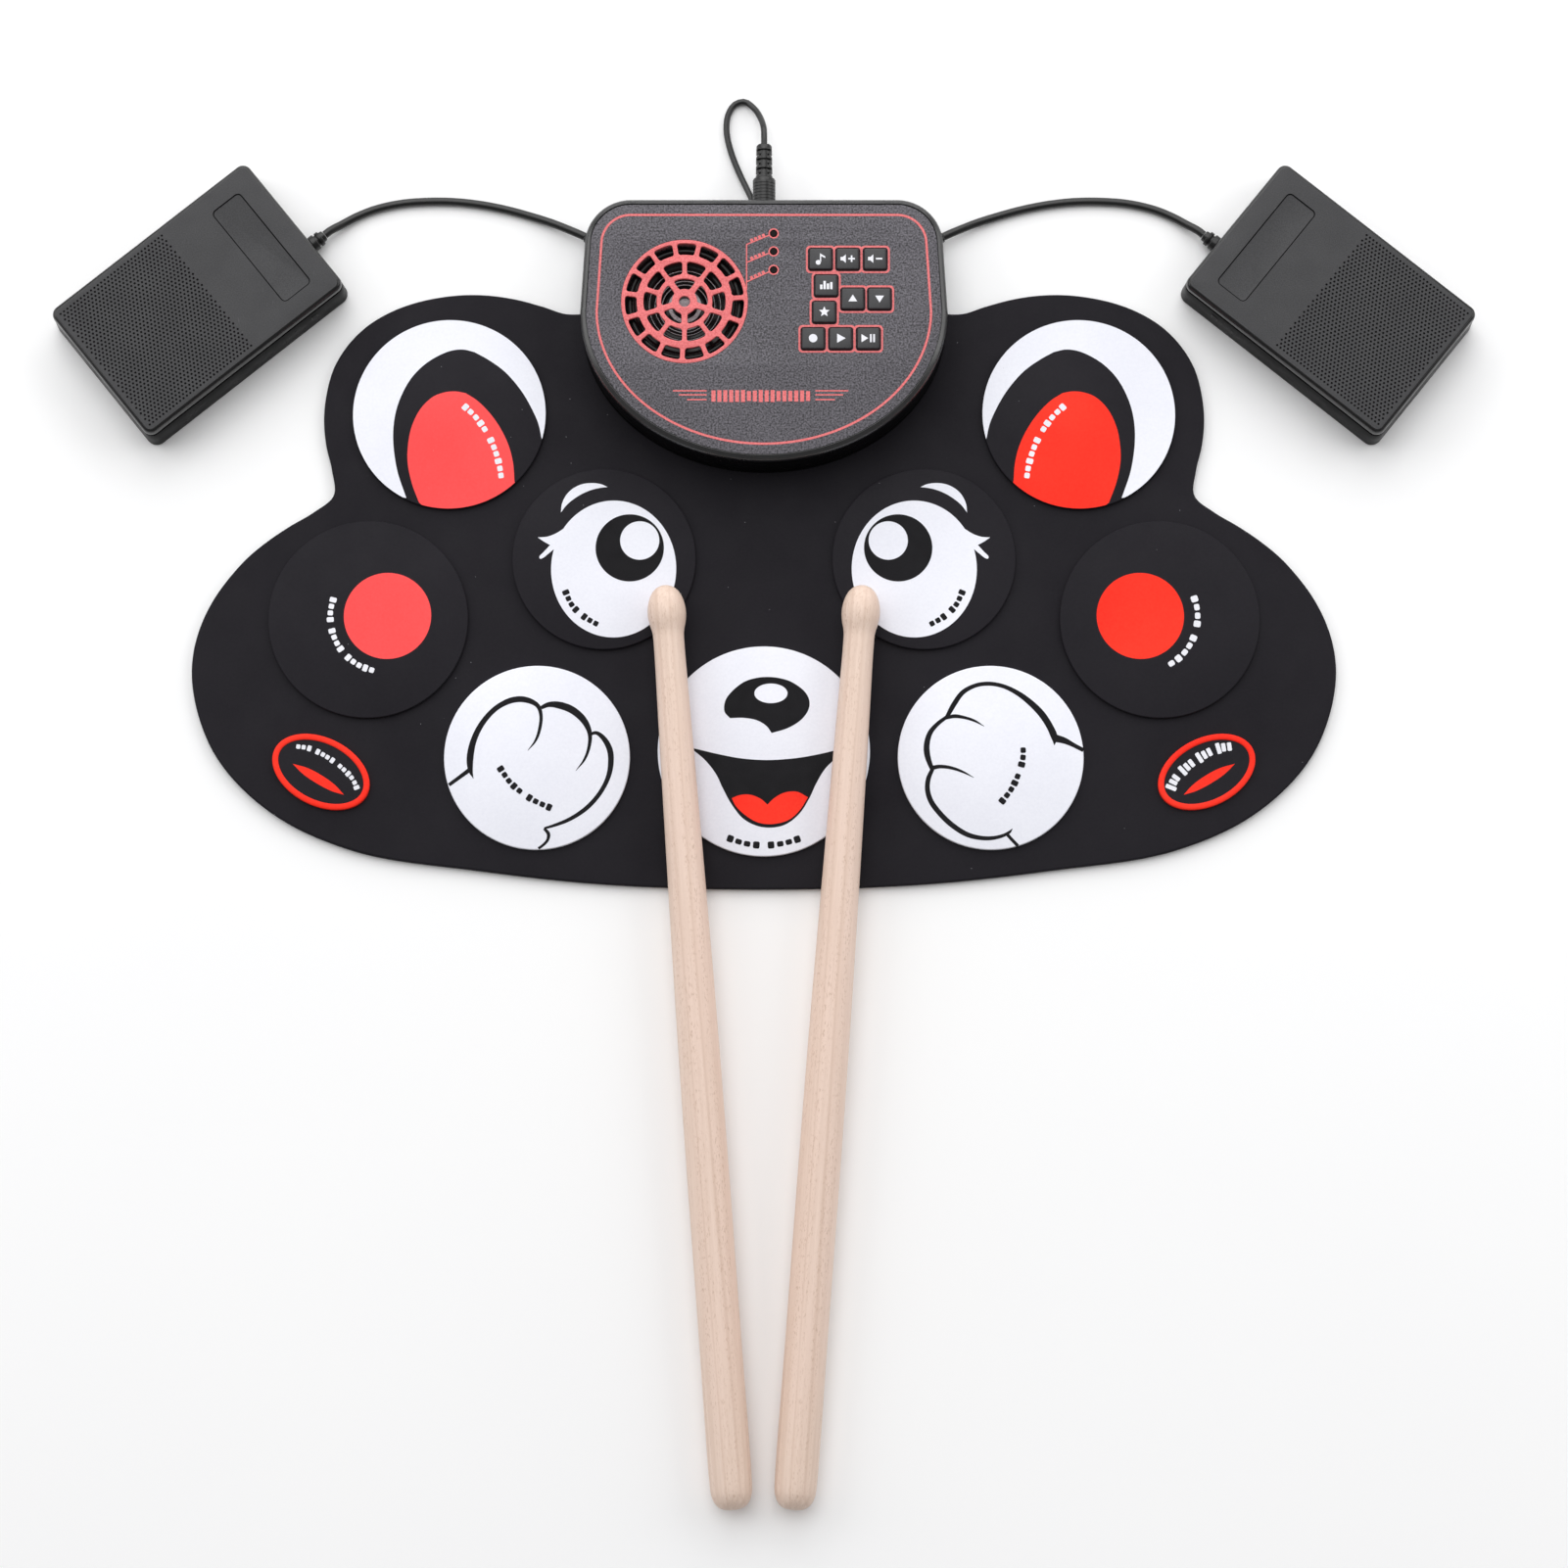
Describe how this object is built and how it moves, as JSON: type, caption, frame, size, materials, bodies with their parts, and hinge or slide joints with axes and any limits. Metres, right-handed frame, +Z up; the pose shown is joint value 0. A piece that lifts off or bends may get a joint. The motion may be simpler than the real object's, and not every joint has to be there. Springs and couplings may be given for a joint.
{
  "type": "electronic drum pad",
  "caption": "Roll-up silicone drum mat shaped like a bear's head, with raised round pads, a D-shaped speaker console, wired foot pedals and wooden drumsticks.",
  "frame": {"origin": "centre of the mat's underside, which lies on the table", "axes": "+X to the player's right, +Y away from the player towards the console, +Z up from the table"},
  "size_m": [0.5892, 0.5834, 0.0289],
  "materials": {
    "charcoal_silicone": "matte moulded silicone",
    "white_silicone": "matte moulded silicone",
    "red_silicone": "matte moulded silicone",
    "sensor_film": "polyester film",
    "black_abs": "satin moulded",
    "grey_abs": "spark-eroded texture",
    "pedal_abs": "fine matte texture",
    "key_rubber": "matte",
    "cable_pvc": "smooth extruded",
    "clear_plastic": "clear red",
    "board_laminate": "solder mask",
    "battery_wrap": "pouch foil",
    "speaker_paper": "pressed paper",
    "plated_steel": "zinc plated",
    "maple": "sanded, thin clear coat"
  },
  "bodies": {
    "kit": {"mat_back_skin": "charcoal_silicone", "sensor_film": "sensor_film", "mat_top_skin": "charcoal_silicone", "left_crash_pad": "charcoal_silicone", "right_crash_pad": "charcoal_silicone", "hihat_pad": "charcoal_silicone", "ride_pad": "charcoal_silicone", "high_tom_pad": "charcoal_silicone", "low_tom_pad": "charcoal_silicone", "snare_pad": "white_silicone", "floor_tom_pad": "white_silicone", "bass_pad": "white_silicone", "closed_hihat_pad": "red_silicone", "effect_pad": "red_silicone", "console_faceplate": "grey_abs", "console_cover": "black_abs", "console_base": "black_abs", "case_screw_1": "plated_steel", "case_screw_2": "plated_steel", "case_screw_3": "plated_steel", "case_screw_4": "plated_steel", "speaker_frame": "plated_steel", "speaker_cone": "speaker_paper", "speaker_magnet": "plated_steel", "main_board": "board_laminate", "keypad_sheet": "key_rubber", "battery_cell": "battery_wrap", "light_pipe": "clear_plastic", "dc_socket": "black_abs", "power_switch": "black_abs", "lead_plug": "cable_pvc", "link_lead": "cable_pvc", "lead_gland": "cable_pvc", "left_cable_gland": "cable_pvc", "right_cable_gland": "cable_pvc", "left_pedal_base": "pedal_abs", "right_pedal_base": "pedal_abs", "left_return_spring": "plated_steel", "right_return_spring": "plated_steel", "left_foot_switch": "black_abs", "right_foot_switch": "black_abs", "left_strain_relief": "cable_pvc", "right_strain_relief": "cable_pvc", "left_pedal_cable": "cable_pvc", "right_pedal_cable": "cable_pvc"},
    "demo_key": {"key_demo": "key_rubber"},
    "volume_up_key": {"key_volume_up": "key_rubber"},
    "volume_down_key": {"key_volume_down": "key_rubber"},
    "rhythm_key": {"key_rhythm": "key_rubber"},
    "tempo_up_key": {"key_tempo_up": "key_rubber"},
    "tempo_down_key": {"key_tempo_down": "key_rubber"},
    "style_key": {"key_style": "key_rubber"},
    "record_key": {"key_record": "key_rubber"},
    "play_key": {"key_play": "key_rubber"},
    "start_stop_key": {"key_start_stop": "key_rubber"},
    "power_slider": {"power_knob": "black_abs"},
    "left_foot_treadle": {"left_treadle": "pedal_abs"},
    "right_foot_treadle": {"right_treadle": "pedal_abs"},
    "left_stick": {"left_drumstick": "maple"},
    "right_stick": {"right_drumstick": "maple"}
  },
  "joints": [
    {"name": "demo_key_press", "type": "slide", "parent": "kit", "child": "demo_key", "axis": [0, 0, -1], "range_m": [0, 0.001], "stiffness_N_per_m": 400, "springref_m": -0.0015},
    {"name": "volume_up_key_press", "type": "slide", "parent": "kit", "child": "volume_up_key", "axis": [0, 0, -1], "range_m": [0, 0.001], "stiffness_N_per_m": 400, "springref_m": -0.0015},
    {"name": "volume_down_key_press", "type": "slide", "parent": "kit", "child": "volume_down_key", "axis": [0, 0, -1], "range_m": [0, 0.001], "stiffness_N_per_m": 400, "springref_m": -0.0015},
    {"name": "rhythm_key_press", "type": "slide", "parent": "kit", "child": "rhythm_key", "axis": [0, 0, -1], "range_m": [0, 0.001], "stiffness_N_per_m": 400, "springref_m": -0.0015},
    {"name": "tempo_up_key_press", "type": "slide", "parent": "kit", "child": "tempo_up_key", "axis": [0, 0, -1], "range_m": [0, 0.001], "stiffness_N_per_m": 400, "springref_m": -0.0015},
    {"name": "tempo_down_key_press", "type": "slide", "parent": "kit", "child": "tempo_down_key", "axis": [0, 0, -1], "range_m": [0, 0.001], "stiffness_N_per_m": 400, "springref_m": -0.0015},
    {"name": "style_key_press", "type": "slide", "parent": "kit", "child": "style_key", "axis": [0, 0, -1], "range_m": [0, 0.001], "stiffness_N_per_m": 400, "springref_m": -0.0015},
    {"name": "record_key_press", "type": "slide", "parent": "kit", "child": "record_key", "axis": [0, 0, -1], "range_m": [0, 0.001], "stiffness_N_per_m": 400, "springref_m": -0.0015},
    {"name": "play_key_press", "type": "slide", "parent": "kit", "child": "play_key", "axis": [0, 0, -1], "range_m": [0, 0.001], "stiffness_N_per_m": 400, "springref_m": -0.0015},
    {"name": "start_stop_key_press", "type": "slide", "parent": "kit", "child": "start_stop_key", "axis": [0, 0, -1], "range_m": [0, 0.001], "stiffness_N_per_m": 400, "springref_m": -0.0015},
    {"name": "power_slide", "type": "slide", "parent": "kit", "child": "power_slider", "axis": [1, 0, 0], "range_m": [0, 0.003]},
    {"name": "left_treadle_hinge", "type": "hinge", "parent": "kit", "child": "left_foot_treadle", "pos_m": [-0.21477, 0.13473, 0.01], "axis": [0.6293, -0.7771, 0], "range_deg": [0, 1.1], "stiffness_Nm_per_rad": 5, "springref_deg": -1.15, "deforming": ["left_return_spring"]},
    {"name": "right_treadle_hinge", "type": "hinge", "parent": "kit", "child": "right_foot_treadle", "pos_m": [0.21477, 0.13473, 0.01], "axis": [0.6293, 0.7771, 0], "range_deg": [0, 1.1], "stiffness_Nm_per_rad": 5, "springref_deg": -1.15, "deforming": ["right_return_spring"]},
    {"name": "left_stick_lift", "type": "slide", "parent": "kit", "child": "left_stick", "axis": [0, 0, 1], "range_m": [0, 0.12]},
    {"name": "right_stick_lift", "type": "slide", "parent": "kit", "child": "right_stick", "axis": [0, 0, 1], "range_m": [0, 0.12]}
  ]
}
